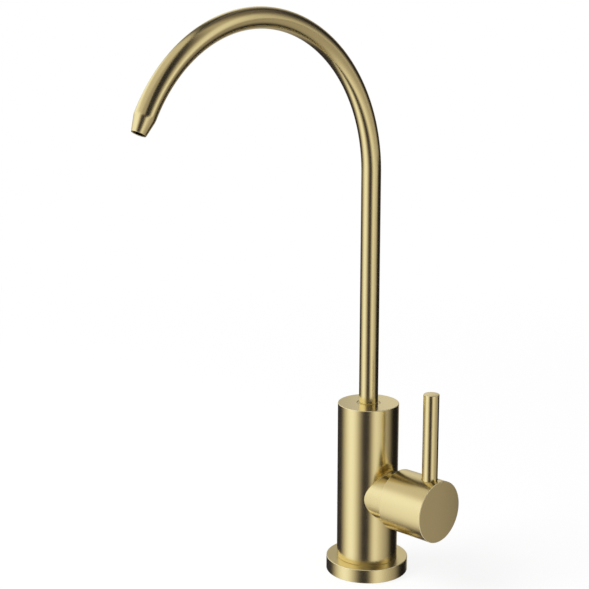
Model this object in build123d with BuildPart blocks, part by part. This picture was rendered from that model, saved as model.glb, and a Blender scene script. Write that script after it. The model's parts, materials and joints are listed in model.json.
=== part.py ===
# Drinking water filter tap: a swan-neck spout that swivels in a round body, and a side handle
# with an upright lever that turns a ceramic disc cartridge through a quarter of a turn.
# Frame: +Z up, the spout points to -Y, the handle to +X. The origin is on the body's axis, in the
# plane of the worktop that the base flange stands on. All lengths are in millimetres.
from build123d import *
import math
import os

os.makedirs("parts", exist_ok=True)

# The outside
body_diameter = 32.0
flange_diameter = 43.2
flange_height = 7.4
handle_axis_height = 44.3
tube_diameter = 10.0
tube_wall = 1.0
tip_wall = 0.6
riser_length = 120.5
bend_radius = 77.5
bend_angle = 152.0
tip_length = 7.5
outlet_diameter = 6.8
hub_diameter = 32.0
hub_standoff = 5.95
hub_length = 26.6
lever_diameter = 8.0
lever_reach = 60.8
lever_setback = 6.75

# Clearances, and the overrun of a cut past the face that it opens
slip_clearance = 0.1
running_clearance = 0.05
fixed_clearance = 0.02
face_gap = 0.1
overrun = 1.0

# Edges that the hand meets, and the edge break at a seam
soft_edge = 0.3
seam_edge = 0.25

# Body shell, valve block and worktop fixing
shell_wall = 2.5
shell_top_wall = 4.0
foot_step = 2.3
shank_socket_diameter = 12.92
shank_socket_depth = 12.0
relief_height = 3.0
waterway_diameter = 3.8
cross_way_diameter = 3.4
waterway_web = 0.4
inlet_wall = 3.2
relief_wall = 2.7
outlet_way_diameter = 4.4
outlet_way_offset = 0.7
gasket_rim = 2.2
gasket_width = 3.2
gasket_thickness = 2.4

# Spout socket, and the stem that turns in it
socket_web = 8.0
socket_depth = 28.2
stem_wall = 0.95
stem_bore_diameter = 6.0
stem_top_gap = 0.2
thrust_washer_thickness = 0.5
seal_land = 1.8
seal_groove_width = 2.2
seal_groove_depth = 1.3
lock_land = 2.2
lock_groove_width = 2.6
lock_groove_depth = 1.2
tube_seat_land = 2.0
bush_wall = 1.5
bush_height = 6.0

# Grub screws
screw_diameter = 4.0
screw_tip_gap = 0.3
screw_point_length = 1.4
lock_screw_length = 6.0
hub_screw_length = 8.0
hub_screw_inset = 5.0
key_width = 2.0
key_depth = 2.5
screw_access_gap = 0.4

# Cartridge and its pocket in the block
pocket_diameter = 15.0
barrel_gap = 0.6
barrel_end_gap = 0.5
barrel_thread_inset = 1.4
barrel_seal_inset = 1.5
barrel_groove_depth = 1.2
barrel_groove_width = 1.8
chamber_wall = 0.8
disc_thickness = 2.5
disc_seal_thickness = 2.0
disc_seal_width = 1.2
disc_port_diameter = 2.6
disc_port_radius = 3.4
lug_width = 1.8
collar_thickness = 2.4
collar_width = 4.0
tang_width = 2.0
tang_depth = 1.0
slip_washer_thickness = 0.6
window_width = 5.0
hex_width = 16.0
hex_thickness = 4.0
nose_length = 6.0
nose_diameter = 12.0

# Spindle, with its seals and clip
spindle_diameter = 8.0
spindle_seal_inset = 4.5
spindle_seal_spacing = 5.0
spindle_groove_depth = 1.2
spindle_groove_width = 1.8
clip_thickness = 0.8
clip_groove_depth = 0.8
clip_stand = 1.2
clip_mouth = 4.0
drive_square = 5.4
drive_length = 10.0

# Neck between the shell and the hub, and the inside of the hub
neck_bevel = 0.4
neck_shoulder = 1.0
neck_spigot_wall = 1.3
neck_cover = 3.05
neck_end_gap = 1.0
skirt_wall = 2.4
skirt_gap = 0.3
hex_clearance = 0.6
nose_space = 1.0
clip_space = 1.0
drive_bush_wall = 1.0
lever_seat_depth = 2.0
lever_stud_diameter = 5.0
lever_stud_length = 7.5
lever_seat_gap = 0.15

# Body radii and levels that follow
body_radius = body_diameter / 2
shell_bore_radius = body_radius - shell_wall
block_radius = shell_bore_radius - slip_clearance
foot_radius = block_radius - foot_step
flange_radius = flange_diameter / 2
gasket_radius = flange_radius - gasket_rim
gasket_inner_radius = gasket_radius - gasket_width
shank_socket_radius = shank_socket_diameter / 2
pocket_radius = pocket_diameter / 2
waterway_radius = waterway_diameter / 2
outlet_way_radius = outlet_way_diameter / 2
inlet_offset = block_radius - inlet_wall - waterway_radius
relief_radius = block_radius - relief_wall
pocket_back = inlet_offset - waterway_radius - waterway_web
relief_top = shank_socket_depth + relief_height
socket_floor = handle_axis_height + pocket_radius + socket_web
block_top = socket_floor + socket_depth
body_top = block_top + shell_top_wall
bush_bottom = block_top - bush_height

# Spout radii and levels
tube_radius = tube_diameter / 2
tube_bore_radius = tube_radius - tube_wall
stem_radius = tube_radius + stem_wall
stem_bore_radius = stem_bore_diameter / 2
socket_radius = stem_radius + running_clearance
bush_radius = socket_radius + bush_wall
bend_level = body_top + riser_length
stem_bottom = socket_floor + thrust_washer_thickness + face_gap
stem_top = body_top - stem_top_gap
first_seal = stem_bottom + seal_land
second_seal = first_seal + seal_groove_width + seal_land
lock_groove = second_seal + seal_groove_width + lock_land
lock_level = lock_groove + lock_groove_width / 2
tube_seat = lock_groove + lock_groove_width + tube_seat_land
seal_floor_radius = stem_radius - seal_groove_depth
lock_floor_radius = stem_radius - lock_groove_depth
screw_radius = screw_diameter / 2
lock_screw_tip = lock_floor_radius + screw_tip_gap
lock_screw_shoulder = lock_screw_tip + screw_point_length

# Cartridge distances and radii
barrel_back = barrel_end_gap - pocket_back
seal_front = disc_seal_thickness - pocket_back
fixed_front = seal_front + disc_thickness
moving_back = fixed_front + running_clearance
moving_front = moving_back + disc_thickness
collar_front = moving_front + collar_thickness
slip_washer_back = collar_front + running_clearance
chamber_front = slip_washer_back + slip_washer_thickness
shoulder_face = body_radius + neck_shoulder
hex_front = shoulder_face + hex_thickness
nose_front = hex_front + nose_length
nose_radius = nose_diameter / 2
thread_radius = pocket_radius - slip_clearance
barrel_radius = pocket_radius - barrel_gap
barrel_thread_start = chamber_front + barrel_thread_inset
barrel_groove = barrel_thread_start + barrel_seal_inset
barrel_floor_radius = thread_radius - barrel_groove_depth
chamber_radius = barrel_radius - chamber_wall
disc_radius = chamber_radius - slip_clearance
spindle_radius = spindle_diameter / 2
spindle_bore_radius = spindle_radius + running_clearance
spindle_floor_radius = spindle_radius - spindle_groove_depth
first_spindle_seal = chamber_front + spindle_seal_inset
second_spindle_seal = first_spindle_seal + spindle_seal_spacing
clip_back = nose_front + face_gap
clip_front = clip_back + clip_thickness
clip_floor_radius = spindle_radius - clip_groove_depth
clip_radius = spindle_radius + clip_stand
drive_start = clip_front + clip_space
drive_end = drive_start + drive_length
drive_bush_radius = spindle_radius + drive_bush_wall

# Neck, hub and lever
hub_radius = hub_diameter / 2
hub_rear = body_radius + hub_standoff
hub_front = hub_rear + hub_length
skirt_radius = hub_radius - skirt_wall
neck_radius = skirt_radius - skirt_gap
neck_front = hub_rear + neck_cover
neck_way_radius = pocket_radius + slip_clearance
neck_spigot_radius = neck_way_radius + neck_spigot_wall
hex_bore_radius = hex_width / math.sqrt(3) + hex_clearance
skirt_floor = neck_front + neck_end_gap
hub_screw_place = drive_start + hub_screw_inset
lever_radius = lever_diameter / 2
lever_place = hub_front - lever_setback
lever_seat = handle_axis_height + hub_radius - lever_seat_depth
lever_top = handle_axis_height + lever_reach
lever_stud_radius = lever_stud_diameter / 2
lever_stud_end = lever_seat - lever_stud_length

# The axis that the handle turns about, and the plane of a half section along it, whose first
# direction is the distance from the body's axis and whose second is the radius
handle_axis = Axis((0, 0, handle_axis_height), (1, 0, 0))
handle_section = Plane((0, 0, handle_axis_height), x_dir=(1, 0, 0), z_dir=(0, -1, 0))


def across_handle(distance):
    """The plane square to the handle's axis, at that distance from the body's axis."""
    return Plane((distance, 0, handle_axis_height), x_dir=(0, 1, 0), z_dir=(1, 0, 0))


def turn_upright(*outline, mode=Mode.ADD):
    """Turn a half section about the body's axis. Its points are (radius, height)."""
    with BuildSketch(Plane.XZ) as section:
        with BuildLine():
            Polyline(*outline, close=True)
        make_face()
    revolve(section.sketch, axis=Axis.Z, mode=mode)


def turn_on_handle(*outline, mode=Mode.ADD):
    """Turn a half section about the handle's axis. Its points are (distance, radius)."""
    with BuildSketch(handle_section) as section:
        with BuildLine():
            Polyline(*outline, close=True)
        make_face()
    revolve(section.sketch, axis=handle_axis, mode=mode)


def rings_on_handle(distances, floor_radius, bore_radius):
    """Rubber rings about the handle's axis, each filling the space from its groove to the bore."""
    with BuildSketch(handle_section) as sections:
        with Locations(*[(distance, (floor_radius + bore_radius) / 2) for distance in distances]):
            Circle((bore_radius - floor_radius) / 2 - fixed_clearance)
    revolve(sections.sketch, axis=handle_axis)


def finish(piece, name):
    """Label a finished piece and write it to its own file."""
    piece.part.label = name
    export_step(piece.part, f"parts/{name}.step")


# Base flange, with a groove below for its gasket
with BuildPart() as base_flange:
    with BuildSketch():
        Circle(flange_radius)
        Circle(foot_radius + slip_clearance, mode=Mode.SUBTRACT)
    extrude(amount=flange_height)
    fillet(base_flange.edges().group_by(Axis.Z)[-1].sort_by(SortBy.RADIUS)[-1], soft_edge)
    with BuildSketch():
        Circle(gasket_radius + fixed_clearance)
        Circle(gasket_inner_radius - fixed_clearance, mode=Mode.SUBTRACT)
    extrude(amount=gasket_thickness, mode=Mode.SUBTRACT)
finish(base_flange, "base_flange")

# Rubber gasket, flush with the flange's underside
with BuildPart() as flange_gasket:
    with BuildSketch():
        Circle(gasket_radius)
        Circle(gasket_inner_radius, mode=Mode.SUBTRACT)
    extrude(amount=gasket_thickness)
finish(flange_gasket, "flange_gasket")

# Valve block: the core that holds the waterways, the cartridge and the spout's stem. Its foot
# passes through the flange and takes the threaded shank of the worktop fixing.
with BuildPart() as valve_block:
    turn_upright(
        (0, 0),
        (foot_radius, 0),
        (foot_radius, flange_height),
        (block_radius, flange_height),
        (block_radius, block_top),
        (0, block_top),
    )
    # Shank socket, with a relief above it that feeds the inlet waterway
    turn_upright(
        (0, 0),
        (shank_socket_radius, 0),
        (shank_socket_radius, shank_socket_depth),
        (relief_radius, shank_socket_depth),
        (relief_radius, relief_top),
        (0, relief_top),
        mode=Mode.SUBTRACT,
    )
    with BuildSketch(Plane.XY.offset(relief_top - overrun)):
        with Locations((-inlet_offset, 0)):
            Circle(waterway_radius)
    extrude(amount=handle_axis_height + waterway_radius - relief_top + overrun, mode=Mode.SUBTRACT)
    with BuildSketch(across_handle(-inlet_offset)):
        Circle(cross_way_diameter / 2)
    extrude(amount=inlet_offset, mode=Mode.SUBTRACT)
    # Cartridge pocket, open to the handle's side
    with BuildSketch(across_handle(-pocket_back)):
        Circle(pocket_radius)
    extrude(amount=pocket_back + body_radius, mode=Mode.SUBTRACT)
    # Outlet waterway, the socket that the spout's stem turns in, and the seat of its bush
    with BuildSketch(Plane.XY.offset(handle_axis_height)):
        with Locations((outlet_way_offset, 0)):
            Circle(outlet_way_radius)
    extrude(amount=socket_floor - handle_axis_height + overrun, mode=Mode.SUBTRACT)
    with BuildSketch(Plane.XY.offset(socket_floor)):
        Circle(socket_radius)
    extrude(amount=socket_depth + overrun, mode=Mode.SUBTRACT)
    with BuildSketch(Plane.XY.offset(bush_bottom)):
        Circle(bush_radius + fixed_clearance)
    extrude(amount=bush_height + overrun, mode=Mode.SUBTRACT)
    # Tapped hole at the back for the screw that keeps the stem in
    with BuildSketch(Plane.XZ.offset(-body_radius)):
        with Locations((0, lock_level)):
            Circle(screw_radius + fixed_clearance)
    extrude(amount=body_radius, mode=Mode.SUBTRACT)
finish(valve_block, "valve_block")

# Body shell: the turned outer tube with its closed top, the hole for the neck's spigot and the
# hole at the back through which the lock screw is reached
with BuildPart() as body_shell:
    with BuildSketch(Plane.XY.offset(flange_height)):
        Circle(body_radius)
    extrude(amount=body_top - flange_height)
    fillet(body_shell.edges().group_by(Axis.Z)[-1], soft_edge)
    chamfer(body_shell.edges().group_by(Axis.Z)[0], seam_edge)
    with BuildSketch(Plane.XY.offset(flange_height)):
        Circle(shell_bore_radius)
    extrude(amount=block_top - flange_height, mode=Mode.SUBTRACT)
    with BuildSketch(Plane.XY.offset(block_top)):
        Circle(socket_radius)
    extrude(amount=shell_top_wall, mode=Mode.SUBTRACT)
    chamfer(body_shell.edges().group_by(Axis.Z)[-1].sort_by(SortBy.RADIUS)[0], seam_edge)
    with BuildSketch(across_handle(0)):
        Circle(neck_spigot_radius + slip_clearance)
    extrude(amount=body_radius + overrun, mode=Mode.SUBTRACT)
    with BuildSketch(Plane.XZ.offset(-body_radius - overrun)):
        with Locations((0, lock_level)):
            Circle(screw_radius + screw_access_gap)
    extrude(amount=body_radius + overrun, mode=Mode.SUBTRACT)
finish(body_shell, "body_shell")

# Side neck: its rim is coped to the shell and bevelled, its spigot reaches through to the block,
# and the cartridge's hexagon clamps it all together from inside the cup
with BuildPart() as side_neck:
    with BuildSketch(across_handle(0)):
        Circle(neck_radius)
    extrude(amount=neck_front)
    with BuildSketch():
        Circle(body_radius + fixed_clearance)
    extrude(amount=body_top, mode=Mode.SUBTRACT)
    chamfer(side_neck.edges().filter_by(lambda edge: edge.geom_type != GeomType.CIRCLE), neck_bevel)
    with BuildSketch(across_handle(0)):
        Circle(neck_spigot_radius)
    extrude(amount=shoulder_face)
    with BuildSketch():
        Circle(block_radius + slip_clearance)
    extrude(amount=body_top, mode=Mode.SUBTRACT)
    with BuildSketch(across_handle(shoulder_face)):
        Circle(hex_bore_radius)
    extrude(amount=hub_length, mode=Mode.SUBTRACT)
    with BuildSketch(across_handle(0)):
        Circle(neck_way_radius)
    extrude(amount=hub_front, mode=Mode.SUBTRACT)
finish(side_neck, "side_neck")

# Cartridge barrel: it screws into the block, holds the discs in its chamber and lets the water
# out through two windows above and below them
with BuildPart() as cartridge_barrel:
    turn_on_handle(
        (barrel_back, 0),
        (barrel_back, barrel_radius),
        (barrel_thread_start, barrel_radius),
        (barrel_thread_start, thread_radius),
        (barrel_groove, thread_radius),
        (barrel_groove, barrel_floor_radius),
        (barrel_groove + barrel_groove_width, barrel_floor_radius),
        (barrel_groove + barrel_groove_width, thread_radius),
        (shoulder_face, thread_radius),
        (shoulder_face, nose_radius),
        (nose_front, nose_radius),
        (nose_front, 0),
    )
    with BuildSketch(across_handle(shoulder_face)):
        RegularPolygon(hex_width / 2, 6, major_radius=False)
    extrude(amount=hex_thickness)
    turn_on_handle(
        (barrel_back, 0),
        (barrel_back, chamber_radius),
        (chamber_front, chamber_radius),
        (chamber_front, spindle_bore_radius),
        (nose_front, spindle_bore_radius),
        (nose_front, 0),
        mode=Mode.SUBTRACT,
    )
    with BuildSketch(across_handle(moving_front)):
        Rectangle(window_width, pocket_diameter)
    extrude(amount=collar_thickness, mode=Mode.SUBTRACT)
    with BuildSketch(across_handle(barrel_back)):
        Rectangle(pocket_diameter, lug_width + 2 * slip_clearance)
    extrude(amount=fixed_front - barrel_back, mode=Mode.SUBTRACT)
finish(cartridge_barrel, "cartridge_barrel")

# Rubber ring in the barrel's groove
with BuildPart() as barrel_o_ring:
    rings_on_handle([barrel_groove + barrel_groove_width / 2], barrel_floor_radius, pocket_radius)
finish(barrel_o_ring, "barrel_o_ring")

# Rubber seal between the pocket's floor and the fixed disc
with BuildPart() as disc_seal:
    with BuildSketch(across_handle(-pocket_back)):
        Circle(disc_radius)
        Circle(disc_radius - disc_seal_width, mode=Mode.SUBTRACT)
    extrude(amount=disc_seal_thickness)
finish(disc_seal, "disc_seal")

# Fixed ceramic disc, with two lugs that hold it in the barrel and two ports above and below
with BuildPart() as fixed_disc:
    with BuildSketch(across_handle(seal_front)):
        Circle(disc_radius)
        Rectangle(2 * barrel_radius, lug_width)
        with PolarLocations(disc_port_radius, 2, start_angle=90):
            Circle(disc_port_diameter / 2, mode=Mode.SUBTRACT)
    extrude(amount=disc_thickness)
finish(fixed_disc, "fixed_disc")

# Moving ceramic disc: with the lever up its ports lie a quarter of a turn from the fixed ones
with BuildPart() as moving_disc:
    with BuildSketch(across_handle(moving_back)):
        Circle(disc_radius)
        with PolarLocations(disc_port_radius, 2):
            Circle(disc_port_diameter / 2, mode=Mode.SUBTRACT)
    extrude(amount=disc_thickness)
    with BuildSketch(across_handle(moving_front - tang_depth)):
        Rectangle(tang_width + 2 * slip_clearance, 2 * disc_radius)
    extrude(amount=tang_depth, mode=Mode.SUBTRACT)
finish(moving_disc, "moving_disc")

# Spindle: a tang and a cross bar behind, two seal grooves, a clip groove and a square in front
with BuildPart() as spindle:
    with BuildSketch(across_handle(moving_front)):
        Circle(disc_radius - slip_clearance)
        Rectangle(collar_width, 2 * disc_radius, mode=Mode.INTERSECT)
    extrude(amount=collar_thickness)
    with BuildSketch(across_handle(moving_front + slip_clearance - tang_depth)):
        Circle(disc_radius - slip_clearance)
        Rectangle(tang_width, 2 * disc_radius, mode=Mode.INTERSECT)
    extrude(amount=tang_depth)
    turn_on_handle(
        (moving_front, 0),
        (moving_front, collar_width / 2),
        (collar_front, collar_width / 2),
        (collar_front, spindle_radius),
        (clip_back, spindle_radius),
        (clip_back, clip_floor_radius),
        (clip_front, clip_floor_radius),
        (clip_front, spindle_radius),
        (drive_start, spindle_radius),
        (drive_start, 0),
    )
    with BuildSketch(across_handle(drive_start)):
        Rectangle(drive_square, drive_square)
    extrude(amount=drive_length)
    for groove_place in (first_spindle_seal, second_spindle_seal):
        turn_on_handle(
            (groove_place - spindle_groove_width / 2, spindle_floor_radius),
            (groove_place - spindle_groove_width / 2, spindle_radius),
            (groove_place + spindle_groove_width / 2, spindle_radius),
            (groove_place + spindle_groove_width / 2, spindle_floor_radius),
            mode=Mode.SUBTRACT,
        )
finish(spindle, "spindle")

# Two rubber rings in the spindle's grooves
with BuildPart() as spindle_o_rings:
    rings_on_handle([first_spindle_seal, second_spindle_seal], spindle_floor_radius, spindle_bore_radius)
finish(spindle_o_rings, "spindle_o_rings")

# Slip washer between the cross bar and the chamber's front
with BuildPart() as slip_washer:
    with BuildSketch(across_handle(slip_washer_back)):
        Circle(disc_radius)
        Circle(spindle_bore_radius, mode=Mode.SUBTRACT)
    extrude(amount=slip_washer_thickness)
finish(slip_washer, "slip_washer")

# Open clip that keeps the spindle from sliding back into the barrel
with BuildPart() as spindle_clip:
    with BuildSketch(across_handle(clip_back + fixed_clearance)):
        Circle(clip_radius)
        Circle(clip_floor_radius + fixed_clearance, mode=Mode.SUBTRACT)
        with Locations((0, -clip_radius)):
            Rectangle(clip_mouth, 2 * clip_radius, mode=Mode.SUBTRACT)
    extrude(amount=clip_thickness - 2 * fixed_clearance)
finish(spindle_clip, "spindle_clip")

# Drive bush: a sleeve fixed in the hub, with the square hole that the spindle's end drives
with BuildPart() as drive_bush:
    with BuildSketch(across_handle(drive_start)):
        Circle(drive_bush_radius)
        Rectangle(drive_square + 2 * slip_clearance, drive_square + 2 * slip_clearance, mode=Mode.SUBTRACT)
    extrude(amount=drive_length)
    with BuildSketch(Plane.XY.offset(handle_axis_height - drive_bush_radius)):
        with Locations((hub_screw_place, 0)):
            Circle(screw_radius + slip_clearance)
    extrude(amount=drive_bush_radius, mode=Mode.SUBTRACT)
finish(drive_bush, "drive_bush")

# Handle hub: a cup that turns over the neck, bored for the drive bush, its screw and the lever
with BuildPart() as handle_hub:
    turn_on_handle(
        (hub_rear, skirt_radius),
        (hub_rear, hub_radius),
        (hub_front, hub_radius),
        (hub_front, 0),
        (drive_end, 0),
        (drive_end, drive_bush_radius + fixed_clearance),
        (drive_start, drive_bush_radius + fixed_clearance),
        (drive_start, nose_radius + nose_space),
        (skirt_floor, nose_radius + nose_space),
        (skirt_floor, skirt_radius),
    )
    fillet(handle_hub.edges().group_by(Axis.X)[-1], soft_edge)
    chamfer(handle_hub.edges().group_by(Axis.X)[0].sort_by(SortBy.RADIUS)[-1], seam_edge)
    with BuildSketch(Plane.XY.offset(lever_seat)):
        with Locations((lever_place, 0)):
            Circle(lever_radius + lever_seat_gap)
    extrude(amount=lever_seat_depth + overrun, mode=Mode.SUBTRACT)
    with BuildSketch(Plane.XY.offset(lever_stud_end - face_gap)):
        with Locations((lever_place, 0)):
            Circle(lever_stud_radius + fixed_clearance)
    extrude(amount=lever_stud_length + overrun, mode=Mode.SUBTRACT)
    with BuildSketch(Plane.XY.offset(handle_axis_height - hub_radius - overrun)):
        with Locations((hub_screw_place, 0)):
            Circle(screw_radius + fixed_clearance)
    extrude(amount=hub_radius + overrun, mode=Mode.SUBTRACT)
finish(handle_hub, "handle_hub")

# Lever rod, with a threaded stud below and an edge break at the top
with BuildPart() as lever_rod:
    with BuildSketch(Plane.XY.offset(lever_seat)):
        with Locations((lever_place, 0)):
            Circle(lever_radius)
    extrude(amount=lever_top - lever_seat)
    fillet(lever_rod.edges().group_by(Axis.Z)[-1], soft_edge)
    with BuildSketch(Plane.XY.offset(lever_stud_end)):
        with Locations((lever_place, 0)):
            Circle(lever_stud_radius)
    extrude(amount=lever_stud_length)
finish(lever_rod, "lever_rod")

# Grub screw below the hub, which bears on the spindle's square
with BuildPart() as hub_grub_screw:
    with BuildSketch(Plane.XY.offset(handle_axis_height - drive_square / 2 - running_clearance)):
        with Locations((hub_screw_place, 0)):
            Circle(screw_radius)
    extrude(amount=-hub_screw_length)
    with BuildSketch(hub_grub_screw.faces().sort_by(Axis.Z)[0]):
        RegularPolygon(key_width / 2, 6, major_radius=False)
    extrude(amount=-key_depth, mode=Mode.SUBTRACT)
finish(hub_grub_screw, "hub_grub_screw")

# Thrust washer on the socket's floor, below the stem
with BuildPart() as thrust_washer:
    with BuildSketch(Plane.XY.offset(socket_floor)):
        Circle(stem_radius)
        Circle(stem_bore_radius, mode=Mode.SUBTRACT)
    extrude(amount=thrust_washer_thickness)
finish(thrust_washer, "thrust_washer")

# Guide bush at the mouth of the socket
with BuildPart() as stem_bush:
    with BuildSketch(Plane.XY.offset(bush_bottom)):
        Circle(bush_radius)
        Circle(socket_radius, mode=Mode.SUBTRACT)
    extrude(amount=bush_height)
finish(stem_bush, "stem_bush")

# Spout stem: a sleeve brazed on the tube's foot, with two seal grooves and a lock groove
with BuildPart() as spout_stem:
    turn_upright(
        (stem_bore_radius, stem_bottom),
        (stem_radius, stem_bottom),
        (stem_radius, first_seal),
        (seal_floor_radius, first_seal),
        (seal_floor_radius, first_seal + seal_groove_width),
        (stem_radius, first_seal + seal_groove_width),
        (stem_radius, second_seal),
        (seal_floor_radius, second_seal),
        (seal_floor_radius, second_seal + seal_groove_width),
        (stem_radius, second_seal + seal_groove_width),
        (stem_radius, lock_groove),
        (lock_floor_radius, lock_groove),
        (lock_floor_radius, lock_groove + lock_groove_width),
        (stem_radius, lock_groove + lock_groove_width),
        (stem_radius, stem_top),
        (tube_radius + fixed_clearance, stem_top),
        (tube_radius + fixed_clearance, tube_seat),
        (stem_bore_radius, tube_seat),
    )
finish(spout_stem, "spout_stem")

# Two rubber rings in the stem's seal grooves
with BuildPart() as stem_o_rings:
    with BuildSketch(Plane.XZ):
        with Locations(
            ((seal_floor_radius + socket_radius) / 2, first_seal + seal_groove_width / 2),
            ((seal_floor_radius + socket_radius) / 2, second_seal + seal_groove_width / 2),
        ):
            Circle((socket_radius - seal_floor_radius) / 2 - fixed_clearance)
    revolve(axis=Axis.Z)
finish(stem_o_rings, "stem_o_rings")

# Lock screw at the back, whose point runs in the stem's lock groove
with BuildPart() as stem_lock_screw:
    with BuildSketch(Plane.XZ.offset(-lock_screw_tip)):
        with Locations((0, lock_level)):
            Circle(lock_groove_width / 2 - slip_clearance)
    extrude(amount=-screw_point_length)
    with BuildSketch(Plane.XZ.offset(-lock_screw_shoulder)):
        with Locations((0, lock_level)):
            Circle(screw_radius)
    extrude(amount=screw_point_length - lock_screw_length)
    with BuildSketch(stem_lock_screw.faces().sort_by(Axis.Y)[-1]):
        RegularPolygon(key_width / 2, 6, major_radius=False)
    extrude(amount=-key_depth, mode=Mode.SUBTRACT)
finish(stem_lock_screw, "stem_lock_screw")

# Spout tube: straight up from its seat in the stem, one long bend, and a tip drawn down to a cone
with BuildPart() as spout_tube:
    with BuildLine(Plane.YZ) as tube_path:
        Line((0, tube_seat), (0, bend_level))
        CenterArc((-bend_radius, bend_level), bend_radius, 0, bend_angle)
    with BuildSketch(Plane.XY.offset(tube_seat)):
        Circle(tube_radius)
        Circle(tube_bore_radius, mode=Mode.SUBTRACT)
    sweep(path=tube_path.line)
    bend_end = Plane(tube_path.line @ 1, x_dir=(1, 0, 0), z_dir=tube_path.line % 1)
    with BuildSketch(bend_end):
        Circle(tube_radius)
    with BuildSketch(bend_end.offset(tip_length)):
        Circle(outlet_diameter / 2)
    loft()
    with BuildSketch(bend_end):
        Circle(tube_bore_radius)
    with BuildSketch(bend_end.offset(tip_length)):
        Circle(outlet_diameter / 2 - tip_wall)
    loft(mode=Mode.SUBTRACT)
finish(spout_tube, "spout_tube")
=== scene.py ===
# %% [markdown]
# # A drinking water filter tap in brushed gold
#
# The tap is a round body with a thin swan-neck spout and a lever at its side. Everything that shows is
# turned, drawn or bent metal with a brushed gold finish, so this lesson is about two things: how to make
# turned and bent pieces from an outline, and how to make metal look like metal. The construction model
# comes in first as a fixed frame. It says where each piece sits and what moves with what.

# %% Load the frame
import bmesh
import bpy
import json
import math
from mathutils import Matrix, Vector


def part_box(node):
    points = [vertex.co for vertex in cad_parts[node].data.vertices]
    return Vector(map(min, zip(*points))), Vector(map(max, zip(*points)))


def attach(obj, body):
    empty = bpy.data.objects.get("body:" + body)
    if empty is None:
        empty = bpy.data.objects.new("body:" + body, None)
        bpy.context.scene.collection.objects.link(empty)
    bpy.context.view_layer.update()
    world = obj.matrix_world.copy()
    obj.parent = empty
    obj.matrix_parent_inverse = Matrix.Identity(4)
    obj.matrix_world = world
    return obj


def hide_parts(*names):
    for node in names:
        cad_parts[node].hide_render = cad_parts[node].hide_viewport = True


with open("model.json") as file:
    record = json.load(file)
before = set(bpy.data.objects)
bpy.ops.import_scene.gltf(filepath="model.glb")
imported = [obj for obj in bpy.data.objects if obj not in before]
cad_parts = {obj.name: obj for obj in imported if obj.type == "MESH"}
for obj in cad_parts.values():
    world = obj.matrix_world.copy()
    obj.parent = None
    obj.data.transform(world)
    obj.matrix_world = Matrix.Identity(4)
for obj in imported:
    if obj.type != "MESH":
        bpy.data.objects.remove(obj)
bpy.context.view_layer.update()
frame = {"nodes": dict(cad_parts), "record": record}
scene = bpy.context.scene
mm = 0.001

# %% [markdown]
# ## The camera
#
# A product photographer stands well back with a long lens, so that upright lines stay nearly parallel.
# The place and the lens below were solved from the photograph: from where the body, the tube and the
# flange cross the picture. Aiming is left to `to_track_quat`, which turns a direction into a rotation,
# so there are no angles to guess.

# %% The camera
camera_place = Vector((453.65, -516.81, 297.85)) * mm
camera_aim = Vector((-0.685178, 0.697170, -0.210918))
focal_length = 83.5
film_width = 36.0
nearest_seen = 10 * mm

camera = bpy.data.objects.new("camera", bpy.data.cameras.new("camera"))
camera.data.sensor_width = film_width
camera.data.lens = focal_length
camera.data.clip_start = nearest_seen
camera.location = camera_place
camera.rotation_euler = camera_aim.to_track_quat("-Z", "Y").to_euler()
scene.collection.objects.link(camera)
scene.camera = camera
scene.view_settings.view_transform = "Standard"
print("camera", round(camera_place.length / mm), "mm from the tap's foot")

# %% [markdown]
# ## Writing node trees as text
#
# Materials, the world and Geometry Nodes are all trees of nodes. Written out in full, each node takes
# four or five lines. A few small helpers make a tree read like a formula: `put` adds a node and feeds its
# inputs, `calc` is one step of arithmetic, and `soften` is the smooth ramp that every soft edge here uses.

# %% Helpers for nodes
def put(tree, kind, feeds=None, **choices):
    """Add a node, make its choices, then feed its inputs with plain values or with other sockets."""
    node = tree.nodes.new(kind)
    for choice, value in choices.items():
        setattr(node, choice, value)
    for name, value in (feeds or {}).items():
        if isinstance(value, bpy.types.NodeSocket):
            tree.links.new(value, node.inputs[name])
        else:
            node.inputs[name].default_value = value
    return node


def calc(tree, operation, *values):
    """One step of arithmetic, and the socket that holds its result."""
    return put(tree, "ShaderNodeMath", dict(enumerate(values)), operation=operation).outputs[0]


def soften(tree, value, low, high):
    """A smooth ramp from 0 where the value is low to 1 where it is high."""
    ramp = put(tree, "ShaderNodeMapRange", {"Value": value, "From Min": low, "From Max": high},
               interpolation_type="SMOOTHSTEP")
    return ramp.outputs["Result"]


def blank_material(name):
    """A new material, and its tree with nothing in it yet."""
    material = bpy.data.materials.new(name)
    material.use_nodes = True
    material.node_tree.nodes.clear()
    return material, material.node_tree


# %% [markdown]
# ## The studio
#
# Metal has no look of its own. It shows what stands round it, so its lighting is drawn, not poured. A
# photographer puts a shiny thing in front of white paper and then stands grey and black cards about it.
# Each card draws a dark band down every upright cylinder, and the soft edge of the card is the soft edge
# of the band.
#
# Cards could be real planes in the scene. The world draws most of them here instead, by the direction in
# which a mirror-like ray leaves, because then they are endlessly far away, they cast no shadows, and they
# stay clear of the camera from every side. Rays from the camera see plain white paper.

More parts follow.
